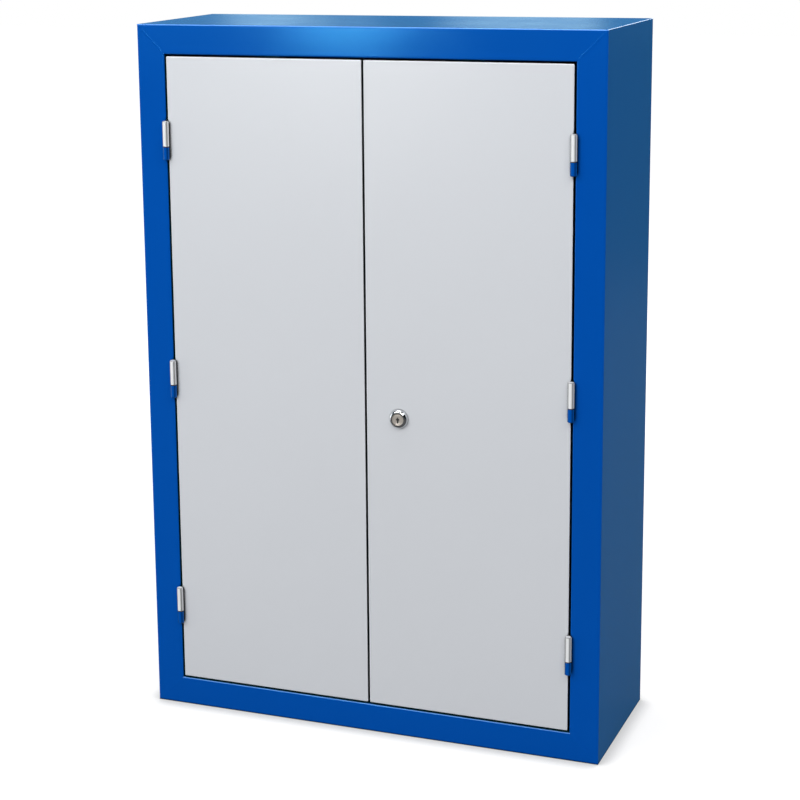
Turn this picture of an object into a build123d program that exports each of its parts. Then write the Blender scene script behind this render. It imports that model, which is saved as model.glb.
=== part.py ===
from build123d import *

import os

# Two-door steel tool cabinet, in millimetres.
# X runs left to right across the front, Y from front to back and Z up.
# The origin is the middle of the underside that the cabinet stands on.

os.makedirs("parts", exist_ok=True)

# Overall size of the carcass, without the hinges and the lock head.
cabinet_width = 672.0
cabinet_height = 1000.0
cabinet_depth = 245.0

# Folded sheet steel: thickness and inside bend radius.
carcass_sheet = 1.2
carcass_bend = 0.8
door_sheet = 1.0
door_bend = 0.6
fitting_sheet = 1.5
fitting_bend = 0.8

# Carcass: front frame, its return into the opening, and the rear flange.
front_flange = 41.0
frame_return = 18.0
rear_flange = 25.0
panel_play = 0.2  # between the back panel's edge and the bends of the walls
edge_land = 0.2  # square part of the sheet's edge below the ground round

# Doors, set flush into the frame.
door_gap = 3.0  # all round each door, and between the two
door_depth = 20.0
door_lip = 12.0
stiffener_web = 36.0
stiffener_foot = 12.0
stiffener_end_gap = 8.0  # from the stiffener's end to the door's lip
stiffener_back_gap = 3.0  # from the stiffener to the back of the door

# Weld-on lift-off hinges, three to a door.
barrel_radius = 4.5
barrel_standoff = 0.3  # between the barrel and the front of the cabinet
barrel_chamfer = 0.9
leaf_thickness = 1.0
leaf_reach = 14.0  # how far the leaf goes back into the gap
leaf_inset = 1.5  # leaf's end below the barrel's end
door_knuckle_length = 36.0
frame_knuckle_length = 18.0
hinge_washer_thickness = 0.6
hinge_washer_inset = 0.4  # washer's edge inside the barrel
hinge_pin_radius = 2.25
hinge_pin_play = 0.05
hinge_pin_rise = 24.0  # pin above the washer
hinge_pin_end_gap = 0.5
hinge_floor = 3.0  # closed end of the frame knuckle
hinge_pin_chamfer = 0.8
top_hinge_below_door_top = 125.5  # to the split between the knuckles
bottom_hinge_above_door_bottom = 102.5
left_middle_hinge_rise = -12.0  # from the middle of the cabinet's height
right_middle_hinge_rise = 2.0

# Cam lock in the right door.
lock_from_door_edge = 47.5
lock_rise = -34.0  # from the middle of the cabinet's height
bezel_base_radius = 13.5
bezel_front_radius = 10.2
bezel_rim = 1.0
bezel_height = 6.0
bezel_recess = 3.2
plug_face_radius = 8.5
plug_face_gap = 0.3  # round the plug's face
plug_face_drop = 0.5  # plug's face behind the bezel's front
plug_radius = 7.0
plug_play = 0.05
lock_tube_radius = 10.5
lock_hole_play = 0.3
lock_nut_across_flats = 26.0
lock_nut_thickness = 4.0
cam_gap = 0.5  # between the cam and the doors' lips
cam_thickness = 2.5
cam_hub_radius = 9.0
cam_tip_radius = 8.0
cam_overlap = 7.0  # cam's tip behind the left door's lip when locked
drive_square = 8.0
drive_play = 0.05
cam_washer_radius = 7.0
cam_washer_thickness = 1.0
cam_screw_radius = 2.5
cam_screw_length = 9.0
cam_screw_head_flats = 8.0
cam_screw_head_height = 3.0
keyway_width = 1.6
keyway_above_centre = 3.0
keyway_below_centre = 5.2
keyway_cross = 4.8
keyway_centre_radius = 1.5
keyway_depth = 7.0

# Slide bolts at the top and bottom of the left door.
bolt_radius = 4.0
bolt_play = 0.05
bolt_hole_play = 0.4  # in the door's edge and the frame's return
bolt_length = 150.0
bolt_inset = 28.0  # from the door's free edge
bolt_tip_drop = 1.0  # tip inside the door's edge when drawn back
bolt_tip_chamfer = 1.0
guide_width = 24.0
guide_thickness = 2.0
guide_foot = 12.0
guide_past_bolt = 7.0
guides_below_tip = (24.0, 126.0)
knob_below_tip = 75.0
knob_radius = 6.0
knob_length = 12.0
knob_neck = 0.5  # between the knob and the bolt
knob_stem_radius = 2.5
knob_stem_depth = 5.0
knob_round = 1.2

# Door stops behind the doors' lips, with rubber buffers.
stop_width = 30.0
stop_start = 6.0  # behind the front of the frame
stop_below_lip = 1.0
buffer_radius = 5.0
buffer_thickness = 3.0
buffer_gap = 0.3
buffer_round = 0.8

# Slotted uprights on the side walls, with the clips that carry the shelves.
upright_web = 24.0
upright_foot = 10.0
upright_depth = 12.0
upright_end_gap = 20.0  # from the frame's opening to the upright's end
front_upright_from_front = 65.0
rear_upright_from_back = 50.0
slot_pitch = 40.0
slot_width = 16.0
slot_height = 4.0
first_slot = 20.0  # above the upright's lower end
clip_width = 14.0
clip_bend = 0.4
clip_hook = 9.0
clip_drop = 14.0
clip_tab = 16.0

# Shelves, each named with the slot that its clips hang in.
shelf_slots = {"lower_shelf": 3, "middle_shelf": 7, "upper_shelf": 11}
shelf_edge = 25.0
shelf_lip = 12.0
shelf_side_play = 0.5  # between the shelf's end and its clips
shelf_from_front = 33.0
shelf_from_back_panel = 5.0

# Perforated tool board above the shelves.
board_sheet = 1.2
board_hole = 10.0
board_pitch = 38.0
board_border = 28.0  # beyond the outer rows of holes' centres
board_side_gap = 56.0  # at least, to the side walls
board_clear = 16.0  # at least, above the shelf and below the frame's edge
board_spacer_length = 12.0
board_spacer_radius = 7.0
board_screw_radius = 2.4
board_screw_play = 0.3
board_screw_head_radius = 5.0
board_screw_head_height = 3.0
board_screw_round = 1.4
board_screw_from_edge = 12.0

# Holes in the back panel for fixing the cabinet to a wall.
wall_hole_radius = 4.5
wall_hole_from_side = 41.0
wall_hole_from_end = 100.0

# Places worked out from the sizes above.
half_width = cabinet_width / 2
front_y = -cabinet_depth / 2
back_y = cabinet_depth / 2
middle_z = cabinet_height / 2
wall_x = half_width - carcass_sheet
opening_x = half_width - front_flange
opening_bottom = front_flange
opening_top = cabinet_height - front_flange
back_panel_y = back_y - 2 * carcass_sheet  # the panel's inner face

door_width = opening_x - 1.5 * door_gap
door_height = opening_top - opening_bottom - 2 * door_gap
door_middle_x = opening_x - door_gap - door_width / 2
door_top = opening_top - door_gap
door_bottom = opening_bottom + door_gap
door_inside_y = front_y + door_sheet
lip_y = front_y + door_depth  # back of both doors
stiffener_y = lip_y - stiffener_back_gap

hinge_x = opening_x - door_gap / 2
hinge_y = front_y - barrel_standoff - barrel_radius
top_hinge_z = door_top - top_hinge_below_door_top
bottom_hinge_z = door_bottom + bottom_hinge_above_door_bottom
left_hinge_heights = (bottom_hinge_z, middle_z + left_middle_hinge_rise, top_hinge_z)
right_hinge_heights = (bottom_hinge_z, middle_z + right_middle_hinge_rise, top_hinge_z)

lock_x = door_gap / 2 + lock_from_door_edge
lock_z = middle_z + lock_rise
cam_front_y = lip_y + cam_gap
cam_back_y = cam_front_y + cam_thickness
cam_reach = lock_x + door_gap / 2 + cam_overlap

bolt_x = -door_gap / 2 - bolt_inset
bolt_y = front_y + door_depth / 2
bolt_tip_z = door_top - bolt_tip_drop

upright_x = wall_x - upright_depth  # the uprights' inner face
upright_bottom = opening_bottom + upright_end_gap
upright_height = opening_top - opening_bottom - 2 * upright_end_gap
upright_rows = (front_y + front_upright_from_front, back_y - rear_upright_from_back)
slot_count = int((upright_height - 2 * first_slot) / slot_pitch) + 1


# ---------------------------------------------------------------- helpers


def bent_sheet(points, sheet, inside_radius):
    """Section of a sheet whose middle line runs through the points."""
    middle_line = FilletPolyline(*points, radius=inside_radius + sheet / 2)
    return trace(middle_line, line_width=sheet)


def along_x(section, start, end):
    """Solid of a section drawn in Y and Z, from one X to another."""
    return Pos(start, 0, 0) * extrude(Plane.YZ * section, end - start)


def along_y(radius, start, end):
    """Round bar along Y on the line X = 0, Z = 0."""
    bar = Cylinder(radius, end - start, rotation=(90, 0, 0))
    return Pos(0, (start + end) / 2, 0) * bar


def along_z(radius, start, end):
    """Round bar along Z on the line X = 0, Y = 0."""
    bar = Cylinder(radius, end - start, align=(Align.CENTER, Align.CENTER, Align.MIN))
    return Pos(0, 0, start) * bar


def span_box(low, high):
    """Box between two corners."""
    size = [b - a for a, b in zip(low, high)]
    return Pos(*low) * Box(*size, align=(Align.MIN, Align.MIN, Align.MIN))


def plate_along_y(sketch, start, end):
    """Solid of a sketch drawn in X and Z, from one Y to another."""
    return Pos(0, end, 0) * extrude(Plane.XZ * sketch, end - start)


def folded_pan(width, height, depth, sheet, inside_radius, lip):
    """Tray with a face towards -Y at Y = 0, folded walls and folded-in lips."""
    outside = Pos(0, depth / 2, 0) * Box(width, depth, height)
    inside_size = (width - 2 * sheet, depth - 2 * sheet, height - 2 * sheet)
    inside = Pos(0, depth / 2, 0) * Box(*inside_size)
    mouth = span_box(
        (lip - width / 2, depth - 2 * sheet, lip - height / 2),
        (width / 2 - lip, depth + sheet, height / 2 - lip),
    )
    shell = fillet(outside.edges(), inside_radius + sheet)
    return shell - fillet(inside.edges(), inside_radius) - mouth


def mirrored_x(shape):
    return mirror(shape, about=Plane.YZ)


def mirrored_z(shape):
    return mirror(shape, about=Plane.XY.offset(middle_z))


def group(solids):
    return Compound(children=list(solids))


def write(name, shape):
    export_step(shape, "parts/" + name + ".step")


# ---------------------------------------------------------------- carcass


def mitre_line(reach):
    """Corner points of the mitre at the top right, out to a reach along it."""
    inner = (half_width - reach, cabinet_height - reach)
    outer = (half_width - carcass_sheet, cabinet_height - carcass_sheet)
    return inner, outer


def side_panel():
    """Right wall with its half of the front frame and a rear flange."""
    half = carcass_sheet / 2
    section = bent_sheet(
        [
            (half_width - rear_flange, back_y - half),
            (half_width - half, back_y - half),
            (half_width - half, front_y + half),
            (opening_x + half, front_y + half),
            (opening_x + half, front_y + frame_return),
        ],
        carcass_sheet,
        carcass_bend,
    )
    reach = 2 * front_flange
    inner, outer = mitre_line(reach)
    above = make_face(
        Polyline(
            inner,
            outer,
            (half_width + reach, outer[1]),
            (half_width + reach, cabinet_height + reach),
            (inner[0], cabinet_height + reach),
            close=True,
        )
    )
    cut = plate_along_y(above, front_y - reach, back_y + reach)
    return extrude(section, cabinet_height) - cut - mirrored_z(cut)


def top_panel():
    """Top with its part of the front frame and a rear flange, lapping both walls."""
    half = carcass_sheet / 2
    section = bent_sheet(
        [
            (back_y - half, cabinet_height - rear_flange),
            (back_y - half, cabinet_height - half),
            (front_y + half, cabinet_height - half),
            (front_y + half, opening_top + half),
            (front_y + frame_return, opening_top + half),
        ],
        carcass_sheet,
        carcass_bend,
    )
    reach = 2 * front_flange
    inner, outer = mitre_line(reach)
    below = make_face(
        Polyline(
            inner, outer, (half_width + reach, outer[1]), (half_width + reach, inner[1]), close=True
        )
    )
    cut = plate_along_y(below, front_y - reach, back_y + reach)
    cut += ground_edge()
    panel = along_x(section, -half_width, half_width) - cut - mirrored_x(cut)
    return panel - bolt_passage()


def ground_edge():
    """What grinding the top's right edge round takes away."""
    radius = carcass_sheet - edge_land
    corner = Pos(half_width, cabinet_height) * Rectangle(2 * radius, 2 * radius)
    corner -= Pos(half_width - radius, cabinet_height - radius) * Circle(radius)
    return plate_along_y(corner, front_y - radius, back_y + radius)


def bolt_passage():
    """Hole in the frame's upper return for the left door's top bolt."""
    hole = along_z(
        bolt_radius + bolt_hole_play, opening_top - carcass_sheet, opening_top + 2 * carcass_sheet
    )
    return Pos(bolt_x, bolt_y, 0) * hole


def back_panel():
    """Flat back, inside the rear flanges, with wall holes and tapped board holes."""
    edge = carcass_sheet + carcass_bend + panel_play
    panel = span_box(
        (edge - half_width, back_panel_y, edge),
        (half_width - edge, back_panel_y + carcass_sheet, cabinet_height - edge),
    )
    through = along_y(wall_hole_radius, back_panel_y - carcass_sheet, back_y + carcass_sheet)
    for x in (wall_hole_from_side - half_width, half_width - wall_hole_from_side):
        for z in (wall_hole_from_end, cabinet_height - wall_hole_from_end):
            panel -= Pos(x, 0, z) * through
    tapped = along_y(board_screw_radius, back_panel_y - carcass_sheet, back_y + carcass_sheet)
    for x, z in board_screw_places():
        panel -= Pos(x, 0, z) * tapped
    return panel


# ------------------------------------------------------ shelves and tool board


def upright(middle_y):
    """Slotted upright of hat section on the right wall."""
    half = carcass_sheet / 2
    web = upright_web / 2
    section = bent_sheet(
        [
            (wall_x - half, middle_y - web - upright_foot),
            (wall_x - half, middle_y - web + half),
            (upright_x + half, middle_y - web + half),
            (upright_x + half, middle_y + web - half),
            (wall_x - half, middle_y + web - half),
            (wall_x - half, middle_y + web + upright_foot),
        ],
        carcass_sheet,
        carcass_bend,
    )
    post = Pos(0, 0, upright_bottom) * extrude(section, upright_height)
    for slot in range(slot_count):
        low = slot_floor(slot)
        post -= span_box(
            (upright_x - carcass_sheet, middle_y - slot_width / 2, low),
            (upright_x + 2 * carcass_sheet, middle_y + slot_width / 2, low + slot_height),
        )
    return post


def slot_floor(slot):
    """Height of the lower edge of a slot, counted from 0 at the bottom."""
    return upright_bottom + first_slot + slot * slot_pitch


def clip(middle_y, slot):
    """Shelf clip hooked through an upright's slot on the right wall."""
    half = fitting_sheet / 2
    hook_x = upright_x + carcass_sheet + clip_bend + half
    leg_x = upright_x - clip_bend - half
    tongue_z = slot_floor(slot) + half
    tab_z = tongue_z - clip_drop
    section = bent_sheet(
        [
            (hook_x, tongue_z - clip_hook),
            (hook_x, tongue_z),
            (leg_x, tongue_z),
            (leg_x, tab_z),
            (leg_x - clip_tab, tab_z),
        ],
        fitting_sheet,
        clip_bend,
    )
    return plate_along_y(section, middle_y - clip_width / 2, middle_y + clip_width / 2)


def shelf_top(slot):
    """Height of a shelf's top face on clips in this slot."""
    tab_top = slot_floor(slot) - clip_drop + fitting_sheet
    return tab_top + shelf_edge


def shelf(slot):
    """Folded shelf resting on its four clips."""
    start = front_y + shelf_from_front
    end = back_panel_y - shelf_from_back_panel
    width = 2 * (upright_x - clip_bend - fitting_sheet - shelf_side_play)
    tray = folded_pan(width, end - start, shelf_edge, carcass_sheet, carcass_bend, shelf_lip)
    return Pos(0, (start + end) / 2, shelf_top(slot)) * Rot(-90, 0, 0) * tray


def holes_that_fit(space):
    """How many holes at the board's pitch fit in a space with a border each end."""
    return int((space - 2 * board_border) / board_pitch) + 1


board_low = shelf_top(max(shelf_slots.values())) + board_clear
board_high = opening_top - board_clear
board_columns = holes_that_fit(2 * (wall_x - board_side_gap))
board_rows = holes_that_fit(board_high - board_low)
board_width = (board_columns - 1) * board_pitch + 2 * board_border
board_height = (board_rows - 1) * board_pitch + 2 * board_border
board_middle_z = (board_low + board_high) / 2
board_back_y = back_panel_y - board_spacer_length
board_front_y = board_back_y - board_sheet


def board_screw_places():
    """Screws near the board's corners and at the middle of its long edges."""
    reach_x = board_width / 2 - board_screw_from_edge
    reach_z = board_height / 2 - board_screw_from_edge
    return [
        (x, board_middle_z + z) for x in (-reach_x, 0, reach_x) for z in (-reach_z, reach_z)
    ]


def tool_board():
    """Flat board with a grid of square holes."""
    holes = GridLocations(board_pitch, board_pitch, board_columns, board_rows)
    outline = Rectangle(board_width, board_height) - holes * Rectangle(board_hole, board_hole)
    board = Pos(0, 0, board_middle_z) * plate_along_y(outline, board_front_y, board_back_y)
    bore = along_y(board_screw_radius + board_screw_play, board_front_y - 1, board_back_y + 1)
    for x, z in board_screw_places():
        board -= Pos(x, 0, z) * bore
    return board


def board_spacer():
    bore = along_y(board_screw_radius + board_screw_play, board_back_y - 1, back_panel_y + 1)
    return along_y(board_spacer_radius, board_back_y, back_panel_y) - bore


def board_screw():
    """Dome-head screw through the board and its spacer into the back panel."""
    head = along_y(
        board_screw_head_radius, board_front_y - board_screw_head_height, board_front_y
    )
    head = fillet(head.edges().group_by(Axis.Y)[0], board_screw_round)
    shank = along_y(board_screw_radius, board_front_y, back_panel_y + carcass_sheet)
    return head + shank


# ------------------------------------------------------------ hinges and stops


def hinge_leaf(side, low, high):
    """Leaf from the barrel back into the gap, flat on the edge at this side."""
    edge = side * door_gap / 2
    inner = edge - side * leaf_thickness
    return span_box(
        (min(edge, inner), 0, low),
        (max(edge, inner), barrel_radius + barrel_standoff + leaf_reach, high),
    )


def barrel(low, high, chamfered):
    bar = along_z(barrel_radius, low, high)
    ends = bar.edges().filter_by(GeomType.CIRCLE).sort_by(Axis.Z)
    return chamfer([ends[i] for i in chamfered], barrel_chamfer)


def door_knuckle():
    """Upper half of a right-hand hinge, welded to the door, about the hinge axis."""
    top = door_knuckle_length
    knuckle = barrel(0, top, (0, 1)) + hinge_leaf(-1, leaf_inset, top - leaf_inset)
    bore_top = hinge_pin_rise + hinge_pin_end_gap
    return knuckle - along_z(hinge_pin_radius + hinge_pin_play, -1, bore_top)


def frame_knuckle():
    """Lower half of a right-hand hinge, welded to the frame, about the hinge axis."""
    top = -hinge_washer_thickness
    low = top - frame_knuckle_length
    knuckle = barrel(low, top, (0,)) + hinge_leaf(1, low + leaf_inset, top - leaf_inset)
    return knuckle - along_z(hinge_pin_radius, low + hinge_floor, 1)


def hinge_pin():
    low = hinge_floor - hinge_washer_thickness - frame_knuckle_length
    pin = along_z(hinge_pin_radius, low, hinge_pin_rise)
    return chamfer(pin.edges().group_by(Axis.Z)[-1], hinge_pin_chamfer)


def hinge_washer():
    ring = along_z(barrel_radius - hinge_washer_inset, -hinge_washer_thickness, 0)
    return ring - along_z(hinge_pin_radius + hinge_pin_play, -1, 1)


def right_hinges(piece):
    return [Pos(hinge_x, hinge_y, z) * piece for z in right_hinge_heights]


def left_hinges(piece):
    return [Pos(-hinge_x, hinge_y, z) * mirrored_x(piece) for z in left_hinge_heights]


def all_hinges(piece):
    return group(left_hinges(piece) + right_hinges(piece))


stop_face_y = lip_y + buffer_gap + buffer_thickness  # front of the stop's upright leg


def door_stop():
    """Angle on the frame's upper return, reaching down behind the door's lip."""
    half = fitting_sheet / 2
    seat = opening_top + carcass_sheet + half
    section = bent_sheet(
        [
            (front_y + stop_start, seat),
            (stop_face_y + half, seat),
            (stop_face_y + half, door_top - door_lip - stop_below_lip),
        ],
        fitting_sheet,
        fitting_bend,
    )
    return along_x(section, -stop_width / 2, stop_width / 2)


def door_buffer():
    """Rubber pad on the front of a door stop."""
    pad = along_y(buffer_radius, stop_face_y - buffer_thickness, stop_face_y)
    pad = fillet(pad.edges().group_by(Axis.Y)[0], buffer_round)
    return Pos(0, 0, door_top - door_lip / 2 - stop_below_lip / 2) * pad


def four_corners(piece):
    """A piece at the middle of each door, at the top and at the bottom."""
    right = Pos(door_middle_x, 0, 0) * piece
    left = Pos(-door_middle_x, 0, 0) * piece
    return group([left, right, mirrored_z(left), mirrored_z(right)])


# ------------------------------------------------------------------- doors


def door_pan():
    pan = folded_pan(door_width, door_height, door_depth, door_sheet, door_bend, door_lip)
    return Pos(0, front_y, middle_z) * pan


def left_door_panel():
    """Left door with the holes for its two bolts."""
    hole = along_z(bolt_radius + bolt_hole_play, door_top - 2 * door_sheet, door_top + door_sheet)
    hole = Pos(bolt_x, bolt_y, 0) * hole
    return Pos(-door_middle_x, 0, 0) * door_pan() - hole - mirrored_z(hole)


def right_door_panel():
    """Right door with the hole for the lock."""
    hole = along_y(
        lock_tube_radius + lock_hole_play, front_y - door_sheet, door_inside_y + door_sheet
    )
    return Pos(door_middle_x, 0, 0) * door_pan() - Pos(lock_x, 0, lock_z) * hole


def stiffener():
    """Hat-section stiffener spot-welded behind the middle of a door."""
    half = door_sheet / 2
    web = stiffener_web / 2
    low = door_bottom + door_lip + stiffener_end_gap
    high = door_top - door_lip - stiffener_end_gap
    section = bent_sheet(
        [
            (-web - stiffener_foot, door_inside_y + half),
            (half - web, door_inside_y + half),
            (half - web, stiffener_y - half),
            (web - half, stiffener_y - half),
            (web - half, door_inside_y + half),
            (web + stiffener_foot, door_inside_y + half),
        ],
        door_sheet,
        door_bend,
    )
    return Pos(0, 0, low) * extrude(section, high - low)


# -------------------------------------------------------------------- lock


def hexagon(across_flats):
    return RegularPolygon(across_flats / 2, 6, major_radius=False)


def at_lock(shape):
    return Pos(lock_x, 0, lock_z) * shape


lock_front_y = front_y - bezel_height
recess_floor_y = lock_front_y + bezel_recess


def lock_housing():
    """Domed bezel on the door's face with a threaded tube behind it."""
    rim_edge = (bezel_base_radius, front_y - bezel_rim)
    front_corner = (bezel_front_radius, lock_front_y)
    outline = make_face(
        TangentArc(rim_edge, front_corner, tangent=(0, -1))
        + Polyline(
            front_corner,
            (0, lock_front_y),
            (0, cam_front_y - 2 * plug_face_gap),
            (lock_tube_radius, cam_front_y - 2 * plug_face_gap),
            (lock_tube_radius, front_y),
            (bezel_base_radius, front_y),
            rim_edge,
        )
    )
    body = revolve(outline, Axis.Y)
    front_edge = body.edges().filter_by(GeomType.CIRCLE).group_by(Axis.Y)[0]
    body = fillet(front_edge, bezel_rim / 2)
    recess = along_y(plug_face_radius + plug_face_gap, lock_front_y - 1, recess_floor_y)
    return at_lock(body - recess - along_y(plug_radius + plug_play, lock_front_y, 0))


def lock_nut():
    """Hexagon nut that clamps the housing from inside the door."""
    nut = plate_along_y(
        hexagon(lock_nut_across_flats), door_inside_y, door_inside_y + lock_nut_thickness
    )
    return at_lock(nut - along_y(lock_tube_radius, front_y, 0))


def lock_plug():
    """Turning plug with its keyway in front and a square drive behind."""
    plug = along_y(plug_face_radius, lock_front_y + plug_face_drop, recess_floor_y)
    plug += along_y(plug_radius, recess_floor_y, cam_front_y)
    plug += plate_along_y(Rectangle(drive_square, drive_square), cam_front_y, cam_back_y)
    plug -= along_y(cam_screw_radius, cam_back_y - cam_screw_length, cam_back_y + 1)
    bottom = lock_front_y + keyway_depth
    stem_height = keyway_above_centre + keyway_below_centre
    stem_middle = (keyway_above_centre - keyway_below_centre) / 2
    keyway = Pos(0, stem_middle) * Rectangle(keyway_width, stem_height)
    keyway += Rectangle(keyway_cross, keyway_width)
    keyway += Circle(keyway_centre_radius)
    return at_lock(plug - plate_along_y(keyway, lock_front_y - 1, bottom))


def lock_cam():
    """Cam lever, hanging down when unlocked."""
    tip = cam_reach - cam_tip_radius
    shape = Circle(cam_hub_radius) + Pos(0, -tip) * Circle(cam_tip_radius)
    shape += Pos(0, -tip / 2) * Rectangle(2 * cam_tip_radius, tip)
    hole = drive_square + 2 * drive_play
    shape -= Rectangle(hole, hole)
    return at_lock(plate_along_y(shape, cam_front_y, cam_back_y))


def cam_washer():
    end = cam_back_y + cam_washer_thickness
    ring = along_y(cam_washer_radius, cam_back_y, end)
    return at_lock(ring - along_y(cam_screw_radius + drive_play, cam_back_y - 1, end + 1))


def cam_screw():
    """Hexagon screw that holds the cam on its square."""
    seat = cam_back_y + cam_washer_thickness
    head = plate_along_y(hexagon(cam_screw_head_flats), seat, seat + cam_screw_head_height)
    return at_lock(head + along_y(cam_screw_radius, cam_back_y - cam_screw_length, seat))


# -------------------------------------------------------------- slide bolts


def bolt_rod():
    """Top bolt, drawn back into the door, with a cross hole for its knob."""
    rod = along_z(bolt_radius, bolt_tip_z - bolt_length, bolt_tip_z)
    rod = chamfer(rod.edges().filter_by(GeomType.CIRCLE), bolt_tip_chamfer)
    start = bolt_radius + knob_neck - knob_stem_depth
    hole = Pos(0, 0, bolt_tip_z - knob_below_tip) * along_y(knob_stem_radius, start, 2 * bolt_radius)
    return Pos(bolt_x, bolt_y, 0) * (rod - hole)


def bolt_knob():
    """Round knob on a stem in the bolt's cross hole."""
    seat = bolt_radius + knob_neck
    knob = along_y(knob_radius, seat, seat + knob_length)
    knob = fillet(knob.edges().filter_by(GeomType.CIRCLE), knob_round)
    knob += along_y(knob_stem_radius, seat - knob_stem_depth, seat)
    return Pos(bolt_x, bolt_y, bolt_tip_z - knob_below_tip) * knob


def bolt_guide(top):
    """Angle bracket on the door's inside with a hole that guides the bolt."""
    half = guide_thickness / 2
    section = bent_sheet(
        [
            (door_inside_y + half, top - guide_foot),
            (door_inside_y + half, top - half),
            (bolt_y + guide_past_bolt, top - half),
        ],
        guide_thickness,
        fitting_bend,
    )
    bracket = along_x(section, bolt_x - guide_width / 2, bolt_x + guide_width / 2)
    hole = along_z(bolt_radius + bolt_play, top - 2 * guide_thickness, top + guide_thickness)
    return bracket - Pos(bolt_x, bolt_y, 0) * hole


def bolt_guides():
    upper = [bolt_guide(bolt_tip_z - below) for below in guides_below_tip]
    return group(upper + [mirrored_z(guide) for guide in upper])


# ------------------------------------------------------------------ writing

right_side = side_panel()
top = top_panel()
write("right_side", right_side)
write("left_side", mirrored_x(right_side))
write("top_panel", top)
write("bottom_panel", mirrored_z(top))
write("back_panel", back_panel())

write("frame_knuckles", all_hinges(frame_knuckle()))
write("hinge_pins", all_hinges(hinge_pin()))
write("hinge_washers", all_hinges(hinge_washer()))
write("door_stops", four_corners(door_stop()))
write("door_buffers", four_corners(door_buffer()))

right_uprights = [upright(row) for row in upright_rows]
write("shelf_uprights", group(right_uprights + [mirrored_x(post) for post in right_uprights]))
right_clips = [clip(row, slot) for row in upright_rows for slot in shelf_slots.values()]
write("shelf_clips", group(right_clips + [mirrored_x(piece) for piece in right_clips]))
for name, slot in shelf_slots.items():
    write(name, shelf(slot))

write("tool_board", tool_board())
write("board_spacers", group(Pos(x, 0, z) * board_spacer() for x, z in board_screw_places()))
write("board_screws", group(Pos(x, 0, z) * board_screw() for x, z in board_screw_places()))

write("left_door_panel", left_door_panel())
write("left_door_stiffener", Pos(-door_middle_x, 0, 0) * stiffener())
write("left_door_knuckles", group(left_hinges(door_knuckle())))
write("bolt_guides", bolt_guides())
write("right_door_panel", right_door_panel())
write("right_door_stiffener", Pos(door_middle_x, 0, 0) * stiffener())
write("right_door_knuckles", group(right_hinges(door_knuckle())))

write("lock_housing", lock_housing())
write("lock_nut", lock_nut())
write("lock_plug", lock_plug())
write("lock_cam", lock_cam())
write("cam_washer", cam_washer())
write("cam_screw", cam_screw())

write("top_bolt", bolt_rod())
write("top_bolt_knob", bolt_knob())
write("bottom_bolt", mirrored_z(bolt_rod()))
write("bottom_bolt_knob", mirrored_z(bolt_knob()))
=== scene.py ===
import math

import bmesh
import bpy
from mathutils import Matrix, Vector


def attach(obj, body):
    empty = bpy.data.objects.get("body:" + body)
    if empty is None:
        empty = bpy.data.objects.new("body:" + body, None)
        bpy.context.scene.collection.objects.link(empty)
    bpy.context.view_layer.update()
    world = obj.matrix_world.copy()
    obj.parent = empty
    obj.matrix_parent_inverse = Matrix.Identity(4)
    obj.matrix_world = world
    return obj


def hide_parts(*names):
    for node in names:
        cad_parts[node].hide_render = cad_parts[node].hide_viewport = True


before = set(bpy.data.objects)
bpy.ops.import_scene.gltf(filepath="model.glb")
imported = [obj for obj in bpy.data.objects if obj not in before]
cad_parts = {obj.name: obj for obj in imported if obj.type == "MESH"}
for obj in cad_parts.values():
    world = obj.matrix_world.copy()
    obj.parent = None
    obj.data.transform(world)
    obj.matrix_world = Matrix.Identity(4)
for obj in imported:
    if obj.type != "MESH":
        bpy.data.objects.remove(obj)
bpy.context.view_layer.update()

# ---------------------------------------------------------------- carcass
# The cabinet's shell: two walls, a top and a bottom folded from 1.2 mm steel
# sheet, and a flat back inside their rear flanges. The parts are welded, then
# powder-coated blue, which leaves a fine orange peel over slightly wavy sheet.


def add(tree, kind, inputs=None, **settings):
    """A node in a shader tree. Inputs are given as values or as sockets to link."""
    made = tree.nodes.new(kind)
    for name, value in settings.items():
        setattr(made, name, value)
    for name, value in (inputs or {}).items():
        if isinstance(value, bpy.types.NodeSocket):
            tree.links.new(value, made.inputs[name])
        else:
            made.inputs[name].default_value = value
    return made


def math_node(tree, operation, *values):
    """One step of arithmetic, on values or sockets."""
    return add(tree, "ShaderNodeMath", dict(enumerate(values)), operation=operation).outputs[0]


def scaled_colour(tree, tint, factor):
    """A colour made lighter or darker by a factor."""
    made = add(tree, "ShaderNodeVectorMath", {0: tint, "Scale": factor}, operation="SCALE")
    return made.outputs["Vector"]


def noise(tree, where, scale, detail=2.0):
    """Noise over a place, 0 to 1, with its scale in waves to the metre."""
    settings = {"Vector": where, "Scale": scale, "Detail": detail}
    return add(tree, "ShaderNodeTexNoise", settings).outputs["Fac"]


def here(tree):
    """The point being shaded, in the cabinet's own coordinates."""
    return add(tree, "ShaderNodeTexCoord").outputs["Object"]


def effect(name, inputs, outputs):
    """A shader node group with named inputs and outputs, still to be filled."""
    tree = bpy.data.node_groups.new(name, "ShaderNodeTree")
    for socket, default in inputs.items():
        kind = "NodeSocketColor" if isinstance(default, tuple) else "NodeSocketFloat"
        made = tree.interface.new_socket(socket, in_out="INPUT", socket_type=kind)
        made.default_value = default
    for socket in outputs:
        kind = "NodeSocketColor" if socket == "Colour" else "NodeSocketFloat"
        tree.interface.new_socket(socket, in_out="OUTPUT", socket_type=kind)
    given = tree.nodes.new("NodeGroupInput").outputs
    wanted = tree.nodes.new("NodeGroupOutput").inputs
    return tree, given, wanted


def place_effect(tree, group, **values):
    """An effect in a material, with its own values. Underscores stand for spaces."""
    made = add(tree, "ShaderNodeGroup", node_tree=group)
    for name, value in values.items():
        socket = made.inputs[name.replace("_", " ")]
        if isinstance(value, bpy.types.NodeSocket):
            tree.links.new(value, socket)
        else:
            socket.default_value = value
    return made.outputs


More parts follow.
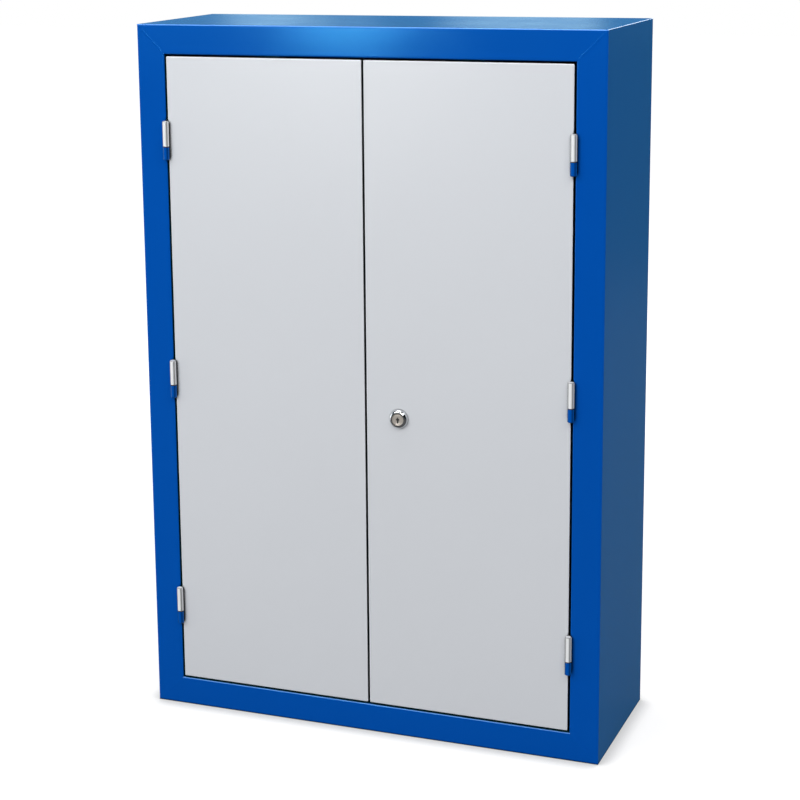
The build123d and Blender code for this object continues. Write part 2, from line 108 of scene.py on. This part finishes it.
def material(name, **constants):
    """A material: its tree and the inputs of its shader, with even values set."""
    made = bpy.data.materials.new(name)
    made.use_nodes = True
    shader = made.node_tree.nodes["Principled BSDF"].inputs
    for socket, value in constants.items():
        shader[socket.replace("_", " ")].default_value = value
    return made, made.node_tree, shader


def raised(tree, shader, height):
    """Gives the surface a relief, from a height in metres."""
    bump = add(tree, "ShaderNodeBump", {"Height": height, "Distance": 1.0})
    tree.links.new(bump.outputs["Normal"], shader["Normal"])


def colour(red, green, blue):
    """A colour as a screen shows it, 0 to 255, made linear for the shader."""
    parts = [value / 255 for value in (red, green, blue)]
    linear = [p / 12.92 if p <= 0.04045 else ((p + 0.055) / 1.055) ** 2.4 for p in parts]
    return (*linear, 1.0)


def eased(tree, value, start, end, low, high):
    """A number that eases from low to high as a value goes from start to end."""
    limits = {"Value": value, "From Min": start, "From Max": end, "To Min": low, "To Max": high}
    ease = add(tree, "ShaderNodeMapRange", limits, interpolation_type="SMOOTHSTEP")
    return ease.outputs["Result"]


def powder_coat_effect():
    """Powder coat: speckle and drift of tone, orange peel, waves, and painted light on bends: a
    painted highlight when Bends is above zero, painted shade when it is below, and a paler
    painted highlight on bends that face up.
    """
    tree, given, wanted = effect(
        "powder_coat",
        {
            "Colour": (1.0, 1.0, 1.0, 1.0),
            "Drift": 0.03,
            "Bends": 0.3,
            "Pale": 0.0,
            "Roughness": 0.3,
            "Peel": 0.00003,
            "Wave": 0.0001,
        },
        ("Colour", "Roughness", "Height"),
    )
    drifts, speckles, sheen_patches, peel_bumps, waves = 4.0, 800.0, 11.0, 380.0, 5.5
    gloss_swing = 0.08
    flat, fully_bent = 0.98, 0.78
    highlight_tint = (0.5, 0.85, 1.0)
    where = here(tree)
    drift = noise(tree, where, drifts, 3.0)
    shade = math_node(tree, "ADD", drift, noise(tree, where, speckles, 1.0))
    shade = math_node(tree, "SUBTRACT", shade, 1.0)
    shade = math_node(tree, "MULTIPLY_ADD", shade, given["Drift"], 1.0)
    normal = add(tree, "ShaderNodeTexCoord").outputs["Normal"]
    upward = add(tree, "ShaderNodeSeparateXYZ", {0: normal}).outputs["Z"]
    facing = add(tree, "ShaderNodeVectorMath", {0: normal}, operation="ABSOLUTE").outputs[0]
    facing = add(tree, "ShaderNodeSeparateXYZ", {0: facing}).outputs
    squarest = math_node(tree, "MAXIMUM", facing["X"], facing["Y"])
    squarest = math_node(tree, "MAXIMUM", squarest, facing["Z"])
    # Painted light on bends: where the surface turns between faces, the colour is made lighter
    # as a painted highlight, or darker as painted shade when Bends is negative.
    bend = eased(tree, squarest, flat, fully_bent, 0.0, 1.0)
    bent = math_node(tree, "MULTIPLY_ADD", bend, given["Bends"], 1.0)
    coat = scaled_colour(tree, given["Colour"], math_node(tree, "MULTIPLY", shade, bent))
    # Painted highlight: bends that face up get a pale blue-white added to their colour.
    edge_highlight = math_node(tree, "MULTIPLY", bend, eased(tree, upward, 0.1, 0.5, 0.0, given["Pale"]))
    pale = scaled_colour(tree, highlight_tint, edge_highlight)
    coat = add(tree, "ShaderNodeVectorMath", {0: coat, 1: pale}, operation="ADD").outputs[0]
    tree.links.new(coat, wanted["Colour"])
    patches = noise(tree, where, sheen_patches)
    rough = math_node(tree, "MULTIPLY_ADD", patches, gloss_swing, -gloss_swing / 2)
    rough = math_node(tree, "ADD", rough, given["Roughness"])
    tree.links.new(rough, wanted["Roughness"])
    peel = math_node(tree, "MULTIPLY", noise(tree, where, peel_bumps), given["Peel"])
    height = math_node(tree, "MULTIPLY_ADD", noise(tree, where, waves, 1.0), given["Wave"], peel)
    tree.links.new(height, wanted["Height"])
    return tree


def crevice_effect():
    """Shade deep in a gap, where another surface stands within reach."""
    tree, given, wanted = effect(
        "crevice_shade",
        {"Colour": (1.0, 1.0, 1.0, 1.0), "Reach": 0.008, "Left": 0.0},
        ("Colour",),
    )
    deep, clear = 0.4, 0.8
    open_sky = add(tree, "ShaderNodeAmbientOcclusion", {"Distance": given["Reach"]}, samples=12)
    shade = eased(tree, open_sky.outputs["AO"], deep, clear, given["Left"], 1.0)
    tree.links.new(scaled_colour(tree, given["Colour"], shade), wanted["Colour"])
    return tree


powder_coat = powder_coat_effect()
crevice_shade = crevice_effect()


def powder_paint(name, paint, drift, bends, pale, roughness, peel, wave, **constants):
    """Powder-coated steel sheet in one colour, with painted light on its bends and painted shade
    in its gaps.
    """
    made, tree, shader = material(name, **constants)
    coat = place_effect(
        tree,
        powder_coat,
        Colour=paint,
        Drift=drift,
        Bends=bends,
        Pale=pale,
        Roughness=roughness,
        Peel=peel,
        Wave=wave,
    )
    # Painted shade: the coat is darkened to black deep in gaps and where another part stands
    # close.
    shaded = place_effect(tree, crevice_shade, Colour=coat["Colour"], Reach=0.008, Left=0.0)
    tree.links.new(shaded["Colour"], shader["Base Color"])
    tree.links.new(coat["Roughness"], shader["Roughness"])
    raised(tree, shader, coat["Height"])
    return made


def finish_nodes(made, *names):
    """Gives CAD nodes their finish."""
    for name in names:
        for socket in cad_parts[name].material_slots:
            socket.material = made


blue_coat = {
    "paint": colour(0, 71, 160),
    "drift": 0.08,
    "roughness": 0.165,
    "peel": 0.00004,
    "wave": 0.0005,
    "Specular_IOR_Level": 0.40,
    "Specular_Tint": (0.1, 0.6, 1.0, 1.0),
    "Sheen_Weight": 0.22,
    "Sheen_Roughness": 0.5,
    "Sheen_Tint": (0.05, 0.5, 0.55, 1.0),
}
# Its bends get a painted highlight, paler where they face up.
blue_paint = powder_paint("blue_powder_coat", bends=0.25, pale=0.25, **blue_coat)
finish_nodes(blue_paint, "left_side", "right_side", "top_panel", "bottom_panel", "back_panel")

# ----------------------------------------------------------- carcass welds
# The carcass parts are welded along the mitres of the front frame and of the
# rear flanges, ground nearly flush and painted over, and the back panel is
# spot-welded to the flanges, which leaves a row of shallow round marks.

half_width = 336.0
cabinet_height = 1000.0
front_y = -122.5
back_y = 122.5
frame_width = 41.0
rear_flange = 25.0
bend_radius = 2.0
pool_pitch = 1.6
bead_step = 0.5
blunt_end = 0.35


def turned(profile, segments=24, closed=False):
    """A shape turned about Z from a profile of radii and heights."""
    drawn = bmesh.new()
    line = [drawn.verts.new((radius, 0.0, level)) for radius, level in profile]
    pairs = list(zip(line, line[1:])) + ([(line[-1], line[0])] if closed else [])
    for pair in pairs:
        drawn.edges.new(pair)
    bmesh.ops.spin(
        drawn,
        geom=drawn.verts[:] + drawn.edges[:],
        axis=(0.0, 0.0, 1.0),
        angle=2 * math.pi,
        steps=segments,
        use_merge=True,
    )
    bmesh.ops.remove_doubles(drawn, verts=drawn.verts, dist=0.0001)
    return drawn


def weld_bead(length, width, rise, ripples=0.0):
    """A bead along X, half sunk in the sheet, with the ripples of its pools."""
    drawn = bmesh.new()
    bmesh.ops.create_cone(
        drawn, cap_ends=True, segments=12, radius1=0.5, radius2=0.5, depth=1.0
    )
    bmesh.ops.rotate(drawn, verts=drawn.verts, matrix=Matrix.Rotation(math.pi / 2, 3, "Y"))
    along = [edge for edge in drawn.edges if abs(edge.verts[0].co.x - edge.verts[1].co.x) > 0.5]
    cuts = max(5, int(length / bead_step) if ripples else 5)
    bmesh.ops.subdivide_edges(drawn, edges=along, cuts=cuts, use_grid_fill=True)
    for vert in drawn.verts:
        end = min(1.0, (0.5 - abs(vert.co.x)) * length / width * 2)
        round_end = blunt_end + (1 - blunt_end) * math.sqrt(max(0.0, end * (2 - end)))
        ripple = math.cos(2 * math.pi * vert.co.x * length / pool_pitch)
        pool = 1 - ripples * (1 + ripple) / 2
        vert.co.y *= width * round_end * pool
        vert.co.z *= 2 * rise * round_end * pool
        vert.co.x *= length
    return drawn


def repeated(shape, places, whole=None):
    """Copies of a drawn shape, one at each place, in a new mesh or in one given."""
    one = bpy.data.meshes.new("one")
    shape.to_mesh(one)
    shape.free()
    whole = whole or bmesh.new()
    for place in places:
        copy = one.copy()
        copy.transform(place)
        whole.from_mesh(copy)
        bpy.data.meshes.remove(copy)
    bpy.data.meshes.remove(one)
    return whole


def at(x, y, z, facing=(0, 0, 1), turn=0.0):
    """A place in millimetres, with a shape's Z turned to face a direction."""
    aim = Vector(facing).to_track_quat("Z", "Y").to_matrix().to_4x4()
    spin = Matrix.Rotation(math.radians(turn), 4, "Z")
    return Matrix.Translation((x, y, z)) @ aim @ spin


def piece(name, drawn, body, finish):
    """A mesh drawn in millimetres, made a finished piece that rides on a body."""
    bmesh.ops.scale(drawn, vec=(0.001, 0.001, 0.001), verts=drawn.verts)
    bmesh.ops.recalc_face_normals(drawn, faces=drawn.faces)
    data = bpy.data.meshes.new(name)
    drawn.to_mesh(data)
    drawn.free()
    data.shade_smooth()
    data.set_sharp_from_angle(angle=math.radians(40))
    data.materials.append(finish)
    made = bpy.data.objects.new(name, data)
    bpy.context.scene.collection.objects.link(made)
    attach(made, body)
    return made


mitre_width = 3.4
past_bend = 1.7


def corner_welds(reach, y, facing, rise):
    """Beads along the mitres at the four corners of a frame centred on X = 0."""
    middle = reach / 2 + past_bend
    places = []
    for side in (-1, 1):
        for level, lift in ((cabinet_height - middle, 1), (middle, -1)):
            place = Matrix.Translation((side * (half_width - middle), y, level))
            lean = Matrix.Rotation(-side * lift * math.pi / 4, 4, "Y")
            flat = Matrix.Rotation(math.pi / 2 * facing, 4, "X")
            places.append(place @ lean @ flat)
    return repeated(weld_bead(reach * math.sqrt(2), mitre_width, rise), places)


piece(
    "front_mitre_welds",
    corner_welds(frame_width - bend_radius - 1.0, front_y, 1, 0.1),
    "carcass",
    blue_paint,
)
piece(
    "rear_mitre_welds",
    corner_welds(rear_flange - bend_radius - 0.5, back_y, -1, 0.05),
    "carcass",
    blue_paint,
)

spot_weld = ((0, -0.3), (3.2, -0.3), (3.1, 0.0), (2.8, 0.16), (2.3, 0.2), (1.8, 0.03), (0, 0.03))
spot_spacing = 75
flange_x = half_width - rear_flange / 2
marks = [
    at(side * flange_x, back_y, level, (0, 1, 0))
    for side in (-1, 1)
    for level in range(50, 951, spot_spacing)
]
marks += [
    at((step - 3.5) * spot_spacing, back_y, level, (0, 1, 0))
    for level in (rear_flange / 2, cabinet_height - rear_flange / 2)
    for step in range(8)
]
piece(
    "back_spot_welds",
    repeated(turned(spot_weld, 20), marks),
    "carcass",
    blue_paint,
)

# ---------------------------------------------------------- shelf uprights
# Four slotted hat-section posts of galvanised sheet, spot-welded to the side
# walls, and twelve bent clips that hook into their slots to carry the shelves.


def bare_metal_effect():
    """Bare or plated metal: patches of tone, fine scratches and a rolled grain."""
    tree, given, wanted = effect(
        "bare_metal",
        {
            "Colour": (0.5, 0.5, 0.5, 1.0),
            "Patches": 0.1,
            "Roughness": 0.3,
            "Scratches": 0.1,
            "Relief": 0.00001,
        },
        ("Colour", "Roughness", "Height"),
    )
    where = here(tree)
    shade = math_node(tree, "SUBTRACT", noise(tree, where, 55.0, 4.0), 0.5)
    shade = math_node(tree, "MULTIPLY_ADD", shade, given["Patches"], 1.0)
    tree.links.new(scaled_colour(tree, given["Colour"], shade), wanted["Colour"])
    stretched = add(
        tree, "ShaderNodeMapping", {"Vector": where, "Scale": (1.0, 1.0, 0.03)}
    ).outputs["Vector"]
    scratch = noise(tree, stretched, 1800.0, 3.0)
    rough = math_node(tree, "SUBTRACT", scratch, 0.5)
    rough = math_node(tree, "MULTIPLY_ADD", rough, given["Scratches"], given["Roughness"])
    tree.links.new(rough, wanted["Roughness"])
    tree.links.new(math_node(tree, "MULTIPLY", scratch, given["Relief"]), wanted["Height"])
    return tree


bare_metal = bare_metal_effect()


def plain_metal(name, tone, patches, roughness, scratches, relief, left=0.3, **constants):
    """A metal part with no paint on it, and the light left in its crevices."""
    made, tree, shader = material(name, Metallic=1.0, **constants)
    skin = place_effect(
        tree,
        bare_metal,
        Colour=tone,
        Patches=patches,
        Roughness=roughness,
        Scratches=scratches,
        Relief=relief,
    )
    shaded = place_effect(tree, crevice_shade, Colour=skin["Colour"], Reach=0.004, Left=left)
    tree.links.new(shaded["Colour"], shader["Base Color"])
    tree.links.new(skin["Roughness"], shader["Roughness"])
    raised(tree, shader, skin["Height"])
    return made


galvanised = plain_metal("galvanised_sheet", colour(178, 183, 188), 0.2, 0.38, 0.15, 0.00001)
tree = galvanised.node_tree
shader = tree.nodes["Principled BSDF"].inputs
plain_tone = shader["Base Color"].links[0].from_socket
crystals = add(
    tree, "ShaderNodeTexVoronoi", {"Vector": here(tree), "Scale": 130.0}, feature="F1"
).outputs["Color"]
grey = add(tree, "ShaderNodeRGBToBW", {"Color": crystals}).outputs["Val"]
spangle = math_node(tree, "MULTIPLY_ADD", grey, 0.22, 0.87)
tree.links.new(scaled_colour(tree, plain_tone, spangle), shader["Base Color"])
finish_nodes(galvanised, "shelf_uprights", "shelf_clips")

upright_foot_x = 333.6
upright_rows = (-57.5, 72.5)
foot_offset = 17.0
marks = [
    at(side * upright_foot_x, row + foot * foot_offset, level, (-side, 0, 0))
    for side in (-1, 1)
    for row in upright_rows
    for foot in (-1, 1)
    for level in range(80, 921, 84)
]
piece(
    "upright_spot_welds",
    repeated(turned(spot_weld, 16), marks),
    "carcass",
    galvanised,
)

# ----------------------------------------------------------------- shelves
# Three folded trays of 1.2 mm sheet that rest on the clips. They are coated in
# the same light grey powder as the doors.

# Its bends get a painted highlight.
grey_paint = powder_paint(
    "grey_powder_coat",
    colour(197, 200, 205),
    drift=0.03,
    bends=0.5,
    pale=0.0,
    roughness=0.33,
    peel=0.000014,
    wave=0.00012,
    Specular_IOR_Level=0.6,
)
finish_nodes(grey_paint, "lower_shelf", "middle_shelf", "upper_shelf")

# -------------------------------------------------------------- tool board
# A perforated grey board on six turned spacers, held off the back panel by
# button-head screws with a hexagon socket, zinc-plated.

finish_nodes(grey_paint, "tool_board")
zinc_plate = plain_metal("zinc_plate", colour(196, 199, 203), 0.16, 0.28, 0.12, 0.000008)
finish_nodes(zinc_plate, "board_spacers")

screw_x = (-263.0, 0.0, 263.0)
screw_z = (578.25, 914.25)
board_front_y = 106.9
screw_shank = 14.4
head_height = 3.0
socket_radius, socket_depth = 1.75, 1.7
head = turned(
    (
        (2.3, head_height),
        (3.0, 2.9),
        (3.9, 2.4),
        (4.6, 1.5),
        (5.0, 0.6),
        (5.0, 0.0),
        (2.4, 0.0),
        (2.4, -screw_shank),
        (0.0, -screw_shank),
    ),
    24,
)
rim = [edge for edge in head.edges if edge.is_boundary]
before = set(head.edges)
hexagon = bmesh.ops.create_circle(head, segments=6, radius=socket_radius)["verts"]
bmesh.ops.translate(head, verts=hexagon, vec=(0.0, 0.0, head_height))
hex_edges = [edge for edge in head.edges if edge not in before]
bmesh.ops.bridge_loops(head, edges=rim + hex_edges)
hex_edges = [edge for edge in head.edges if edge.is_boundary]
walls = bmesh.ops.extrude_edge_only(head, edges=hex_edges)["geom"]
floor_verts = [item for item in walls if isinstance(item, bmesh.types.BMVert)]
bmesh.ops.translate(head, verts=floor_verts, vec=(0.0, 0.0, -socket_depth))
bmesh.ops.contextual_create(head, geom=floor_verts)
screws = piece(
    "board_socket_screws",
    repeated(head, [at(x, board_front_y, z, (0, -1, 0)) for x in screw_x for z in screw_z]),
    "carcass",
    zinc_plate,
)
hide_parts("board_screws")

# ------------------------------------------------------------------ hinges
# Weld-on lift-off hinges: a grey knuckle on the door drops over the steel pin
# of a blue knuckle on the frame, on a thin brass washer. Their leaves are
# welded in the gap, each with short beads, before the parts are coated.

# The knuckles' coats are copies of the blue coat and of the doors' grey coat with painted light:
# the grey copy is lighter than the doors' grey as a painted highlight, and both are darkened as
# painted shade where the barrel's surface turns at a slant.
blue_knuckle_paint_and_painted_shade = powder_paint("blue_knuckle_coat_and_painted_shade", bends=-0.5, pale=0.0, **blue_coat)
finish_nodes(blue_knuckle_paint_and_painted_shade, "frame_knuckles")
finish_nodes(blue_paint, "door_stops")
grey_knuckle_paint_and_painted_light = powder_paint(
    "grey_knuckle_coat_and_painted_light",
    colour(224, 226, 228),
    drift=0.03,
    bends=-0.65,
    pale=0.0,
    roughness=0.2,
    peel=0.00001,
    wave=0.0001,
    Specular_IOR_Level=0.7,
)
finish_nodes(grey_knuckle_paint_and_painted_light, "left_door_knuckles", "right_door_knuckles")
finish_nodes(zinc_plate, "hinge_pins")
brass = plain_metal("brass", colour(112, 94, 64), 0.2, 0.4, 0.1, 0.000006)
finish_nodes(brass, "hinge_washers")

hinge_heights = {-1: (146.5, 488.0, 830.5), 1: (146.5, 502.0, 830.5)}
opening_x = 295.0
door_edge_x = 292.0
leaf_back_y, leaf_middle_y = -108.5, -114.0
end_bead = 9.0
bead_width, bead_rise, bead_ripples = 1.5, 0.75, 0.25


def hinge_beads(side, edge_x, low, high, ends):
    """Beads round a leaf: along its rear edge and along one or both ends."""
    upright = Matrix.Rotation(math.pi / 2, 4, "Y")
    endwise = Matrix.Rotation(math.pi / 2, 4, "Z")
    lines = [(edge_x, leaf_back_y, (low + high) / 2, high - low - 2, upright)]
    lines += [(edge_x, leaf_middle_y, end, end_bead, endwise) for end in ends]
    whole = bmesh.new()
    for x, y, level, length, turn in lines:
        places = [
            Matrix.Translation((side * x, y, split + level)) @ turn
            for split in hinge_heights[side]
        ]
        repeated(weld_bead(length, bead_width, bead_rise, bead_ripples), places, whole)
    return whole


for word, side in (("left", -1), ("right", 1)):
    piece(
        word + "_door_hinge_welds",
        hinge_beads(side, door_edge_x + 0.4, 1.5, 34.5, (1.5, 34.5)),
        word + "_door",
        grey_paint,
    )
    piece(
        word + "_frame_hinge_welds",
        hinge_beads(side, opening_x - 0.4, -17.1, -2.1, (-17.1,)),
        "carcass",
        blue_paint,
    )

# ------------------------------------------------------------------- stops
# Rubber pads on the four door stops, moulded with a fine matt skin.


def moulded_effect():
    """Moulded rubber or plastic: a fine even grain with duller, dusty patches."""
    tree, given, wanted = effect(
        "moulded_skin",
        {"Colour": (0.02, 0.02, 0.02, 1.0), "Dust": 0.3, "Roughness": 0.5, "Grain": 0.00002},
        ("Colour", "Roughness", "Height"),
    )
    where = here(tree)
    dust = math_node(tree, "MULTIPLY", noise(tree, where, 90.0, 4.0), given["Dust"])
    dusted = scaled_colour(tree, given["Colour"], math_node(tree, "ADD", dust, 1.0))
    tree.links.new(dusted, wanted["Colour"])
    rough = math_node(tree, "MULTIPLY_ADD", dust, 0.3, given["Roughness"])
    tree.links.new(rough, wanted["Roughness"])
    grain = math_node(tree, "MULTIPLY", noise(tree, where, 2200.0, 1.0), given["Grain"])
    tree.links.new(grain, wanted["Height"])
    return tree


moulded_skin = moulded_effect()


def moulding(name, tone, dust, roughness, grain):
    """A moulded part in one colour."""
    made, tree, shader = material(name)
    skin = place_effect(
        tree, moulded_skin, Colour=tone, Dust=dust, Roughness=roughness, Grain=grain
    )
    tree.links.new(skin["Colour"], shader["Base Color"])
    tree.links.new(skin["Roughness"], shader["Roughness"])
    raised(tree, shader, skin["Height"])
    return made


rubber = moulding("black_rubber", colour(34, 34, 35), 0.6, 0.68, 0.00003)
finish_nodes(rubber, "door_buffers")

# ------------------------------------------------------------------- doors
# Each door is a pan folded from 1 mm sheet with a hat-section stiffener
# spot-welded behind its middle. The lips meet at ground and painted corner
# welds. Both are coated light grey.

finish_nodes(
    grey_paint,
    "left_door_panel",
    "right_door_panel",
    "left_door_stiffener",
    "right_door_stiffener",
)

door_middle_x = 146.75
door_half_width = 145.25
door_low, door_high = 44.0, 956.0
door_lip = 12.0
lip_y = -102.5
stiffener_foot_y = -120.5
stiffener_foot_x = 24.0
seam_in = door_lip / 2 + 0.6
for word, side in (("left", -1), ("right", 1)):
    middle = side * door_middle_x
    corners = []
    for across in (-1, 1):
        for level, lift in ((door_high - seam_in, 1), (door_low + seam_in, -1)):
            seam_x = middle + across * (door_half_width - seam_in)
            place = Matrix.Translation((seam_x, lip_y, level))
            lean = Matrix.Rotation(-across * lift * math.pi / 4, 4, "Y")
            corners.append(place @ lean @ Matrix.Rotation(-math.pi / 2, 4, "X"))
    piece(
        word + "_door_corner_welds",
        repeated(weld_bead(14.5, 2.0, 0.12), corners),
        word + "_door",
        grey_paint,
    )
    marks = [
        at(middle + foot * stiffener_foot_x, stiffener_foot_y, level, (0, 1, 0))
        for foot in (-1, 1)
        for level in range(90, 911, 82)
    ]
    piece(
        word + "_stiffener_spot_welds",
        repeated(turned(spot_weld, 16), marks),
        word + "_door",
        grey_paint,
    )

# -------------------------------------------------------------------- lock
# A cam lock through the right door: a chromed die-cast bezel with a threaded
# tube, a nickel-plated plug that turns in it, a hexagon nut behind the sheet
# and a zinc-plated cam held on the plug's square by a screw.

# Both platings are darkened almost to black in their crevices, as painted shade round the
# bezel's base and the plug.
chrome = plain_metal(
    "chrome_plate", colour(222, 223, 226), 0.05, 0.07, 0.06, 0.000002, left=0.02
)
finish_nodes(chrome, "lock_housing")
nickel = plain_metal(
    "nickel_plate", colour(226, 214, 204), 0.25, 0.42, 0.2, 0.00002, left=0.02
)
finish_nodes(nickel, "lock_plug")
finish_nodes(zinc_plate, "lock_nut", "lock_cam", "cam_washer", "cam_screw")

lock_x, lock_z = 49.0, 466.0
plug_face_y = -128.0
face_ring = (
    (5.7, -0.2),
    (5.7, 0.02),
    (6.0, 0.14),
    (6.3, 0.02),
    (7.4, 0.02),
    (7.7, 0.18),
    (8.2, 0.18),
    (8.4, -0.02),
    (8.4, -0.2),
)
piece(
    "lock_plug_rings",
    repeated(turned(face_ring, 48, closed=True), [at(lock_x, plug_face_y, lock_z, (0, -1, 0))]),
    "lock_rotor",
    nickel,
)

# -------------------------------------------------------------- slide bolts
# Two zinc-plated round bolts hold the left door at its top and bottom. Each
# runs in two angle guides spot-welded to the door and has a moulded knob.

finish_nodes(zinc_plate, "top_bolt", "bottom_bolt")
finish_nodes(grey_paint, "bolt_guides")
black_plastic = moulding("black_plastic", colour(26, 26, 28), 0.4, 0.42, 0.00001)
finish_nodes(black_plastic, "top_bolt_knob", "bottom_bolt_knob")

bolt_x = -29.5
guide_foot_y = -119.5
guide_mark_levels = (923.0, 821.0, 77.0, 179.0)
piece(
    "guide_spot_welds",
    repeated(
        turned(spot_weld, 16),
        [
            at(bolt_x + across, guide_foot_y, level, (0, 1, 0))
            for level in guide_mark_levels
            for across in (-8, 8)
        ],
    ),
    "left_door",
    grey_paint,
)

# ------------------------------------------------------------------- floor
# A plain pale studio floor. The camera sees it white, with a soft shadow
# under the cabinet, and it gives the cabinet only a plain amount of light.
# Gloss mirrors it dark, but for a pale part on the left.


def seen_directly(tree):
    """The light path's flags: to the camera, and in reflections or through glass."""
    path = add(tree, "ShaderNodeLightPath").outputs
    mirrored = math_node(tree, "MAXIMUM", path["Is Glossy Ray"], path["Is Transmission Ray"])
    return path["Is Camera Ray"], mirrored


def between(tree, factor, low, high):
    """A number between two others, each a value or a socket."""
    return add(tree, "ShaderNodeMix", {0: factor, 2: low, 3: high}).outputs[0]


floor_size = 14.0
camera_matt, plain_matt, mirror_matt = 0.28, 0.34, 0.06
near, far = 0.7, 2.4
near_glow, far_glow = 0.76, 1.0
pale_part_x, pale_part_y = (-0.9, -1.5), (-1.9, -1.1)
dark_mirror, left_mirror = 0.02, 0.9
contact_reach, contact_shade = 0.032, 0.55

drawn = bmesh.new()
bmesh.ops.create_grid(drawn, x_segments=1, y_segments=1, size=floor_size)
data = bpy.data.meshes.new("floor")
drawn.to_mesh(data)
drawn.free()
floor = bpy.data.objects.new("floor", data)
bpy.context.scene.collection.objects.link(floor)
pale_floor = bpy.data.materials.new("pale_floor")
pale_floor.use_nodes = True
tree = pale_floor.node_tree
tree.nodes.clear()
to_camera, mirrored = seen_directly(tree)
away = add(tree, "ShaderNodeVectorMath", {0: here(tree)}, operation="LENGTH").outputs["Value"]
glow = eased(tree, away, near, far, near_glow, far_glow)
open_sky = add(tree, "ShaderNodeAmbientOcclusion", {"Distance": contact_reach}, samples=16)
contact = eased(tree, open_sky.outputs["AO"], 0.5, 1.0, contact_shade, 1.0)
glow = math_node(tree, "MULTIPLY", glow, contact)
spot = add(tree, "ShaderNodeSeparateXYZ", {0: here(tree)}).outputs
left = eased(tree, spot["X"], *pale_part_x, dark_mirror, left_mirror)
left = between(tree, eased(tree, spot["Y"], *pale_part_y, 0.0, 1.0), dark_mirror, left)
glow = between(tree, to_camera, math_node(tree, "MULTIPLY", mirrored, left), glow)
matt = between(tree, mirrored, plain_matt, mirror_matt)
matt = between(tree, to_camera, matt, camera_matt)
grey = add(tree, "ShaderNodeCombineColor", {0: matt, 1: matt, 2: matt}).outputs[0]
matt = add(tree, "ShaderNodeBsdfDiffuse", {"Color": grey}).outputs[0]
shine = add(tree, "ShaderNodeEmission", {"Strength": glow}).outputs[0]
surface = add(tree, "ShaderNodeAddShader", {0: matt, 1: shine}).outputs[0]
add(tree, "ShaderNodeOutputMaterial", {"Surface": surface})
data.materials.append(pale_floor)

# ------------------------------------------------------------------ lights
# Soft studio lights: two large softboxes in front, high on the left and on the
# right, a small one low in front, a strip at the left, one overhead, one behind,
# and a small high lamp and a weak fill on the right.


def softbox(name, place, target, width, tall, power):
    """An area light aimed at a point of the cabinet, in metres and watts."""
    lamp = bpy.data.lights.new(name, "AREA")
    lamp.shape = "RECTANGLE"
    lamp.size = width
    lamp.size_y = tall
    lamp.energy = power
    made = bpy.data.objects.new(name, lamp)
    made.location = place
    made.rotation_euler = (Vector(target) - Vector(place)).to_track_quat("-Z", "Y").to_euler()
    bpy.context.scene.collection.objects.link(made)


softbox("left_key_softbox", (-2.6, -4.2, 3.5), (0, 0, 0.55), 3.2, 3.2, 144)
softbox("right_key_softbox", (1.3, -4.6, 3.8), (0, 0, 0.55), 3.0, 3.0, 122)
softbox("low_softbox", (-1.01, -2.61, 0.95), (0, 0, 0.8), 0.2, 0.2, 8.5)
softbox("left_strip", (-2.6, -0.9, 0.75), (0, 0, 0.5), 0.6, 1.4, 6)
softbox("top_softbox", (-0.2, 0.1, 2.9), (0, 0, 0.6), 1.6, 1.6, 50)
softbox("high_right_softbox", (1.5, -1.1, 2.1), (0.05, 0, 0.47), 0.5, 0.5, 8)
softbox("right_fill", (2.5, 0.35, 1.3), (0, 0, 0.5), 1.4, 1.4, 7)
softbox("rear_softbox", (0.95, 2.9, 2.3), (0.1, 0, 0.8), 2.2, 2.2, 50)

# The studio round the cabinet: plain and white to the camera. Gloss mirrors a
# dark sky over a pale horizon with soft uneven streaks, brightest on the left.

horizon_glow, sky_glow, plain_glow = 1.0, 0.06, 0.22
streak_scale = 17.0

world = bpy.data.worlds.new("studio")
bpy.context.scene.world = world
world.use_nodes = True
tree = world.node_tree
tree.nodes.clear()
to_camera, mirrored = seen_directly(tree)
direction = add(tree, "ShaderNodeSeparateXYZ", {0: here(tree)}).outputs
in_mirror = eased(tree, direction["Z"], 0.0, 0.2, horizon_glow, sky_glow)
flattened = {"Vector": here(tree), "Location": (0.0, 0.0, 3.5), "Scale": (1.0, 1.0, 0.2)}
flattened = add(tree, "ShaderNodeMapping", flattened).outputs["Vector"]
streaks = noise(tree, flattened, streak_scale, 1.0)
for factor in (
    eased(tree, streaks, 0.36, 0.66, 0.15, 1.0),
    eased(tree, direction["X"], -0.15, 0.1, 1.0, 0.1),
    eased(tree, direction["X"], -0.385, -0.42, 1.0, 1.6),
):
    in_mirror = math_node(tree, "MULTIPLY", in_mirror, factor)
strength = between(tree, mirrored, plain_glow, in_mirror)
strength = between(tree, to_camera, strength, 1.0)
cool = add(
    tree,
    "ShaderNodeCombineColor",
    {0: between(tree, mirrored, 1.0, 0.62), 1: between(tree, mirrored, 1.0, 0.9), 2: 1.0},
)
backdrop = add(tree, "ShaderNodeBackground", {"Color": cool.outputs[0], "Strength": strength})
backdrop = backdrop.outputs[0]
add(tree, "ShaderNodeOutputWorld", {"Surface": backdrop})

# ------------------------------------------------------------------ camera
# A long lens a little above the top of the cabinet, looking at its front from
# the right and down.

camera_place = (0.97533, -2.61394, 1.16923)
yaw, pitch, roll = 0.3858, 0.2089, -0.0136
focal_pixels = 1996.13
image_pixels = 800

forward = Vector(
    (-math.sin(yaw) * math.cos(pitch), math.cos(yaw) * math.cos(pitch), -math.sin(pitch))
)
level = Vector((math.cos(yaw), math.sin(yaw), 0.0))
upright = level.cross(forward)
right = level * math.cos(roll) + upright * math.sin(roll)
up = upright * math.cos(roll) - level * math.sin(roll)
lens = bpy.data.cameras.new("camera")
lens.sensor_width = 36.0
lens.lens = focal_pixels * lens.sensor_width / image_pixels
lens.shift_x = 0.075
lens.shift_y = -0.10
camera = bpy.data.objects.new("camera", lens)
turn = Matrix((right, up, -forward)).transposed().to_4x4()
camera.matrix_world = Matrix.Translation(camera_place) @ turn
bpy.context.scene.collection.objects.link(camera)
bpy.context.scene.camera = camera
bpy.context.scene.view_settings.view_transform = "Standard"
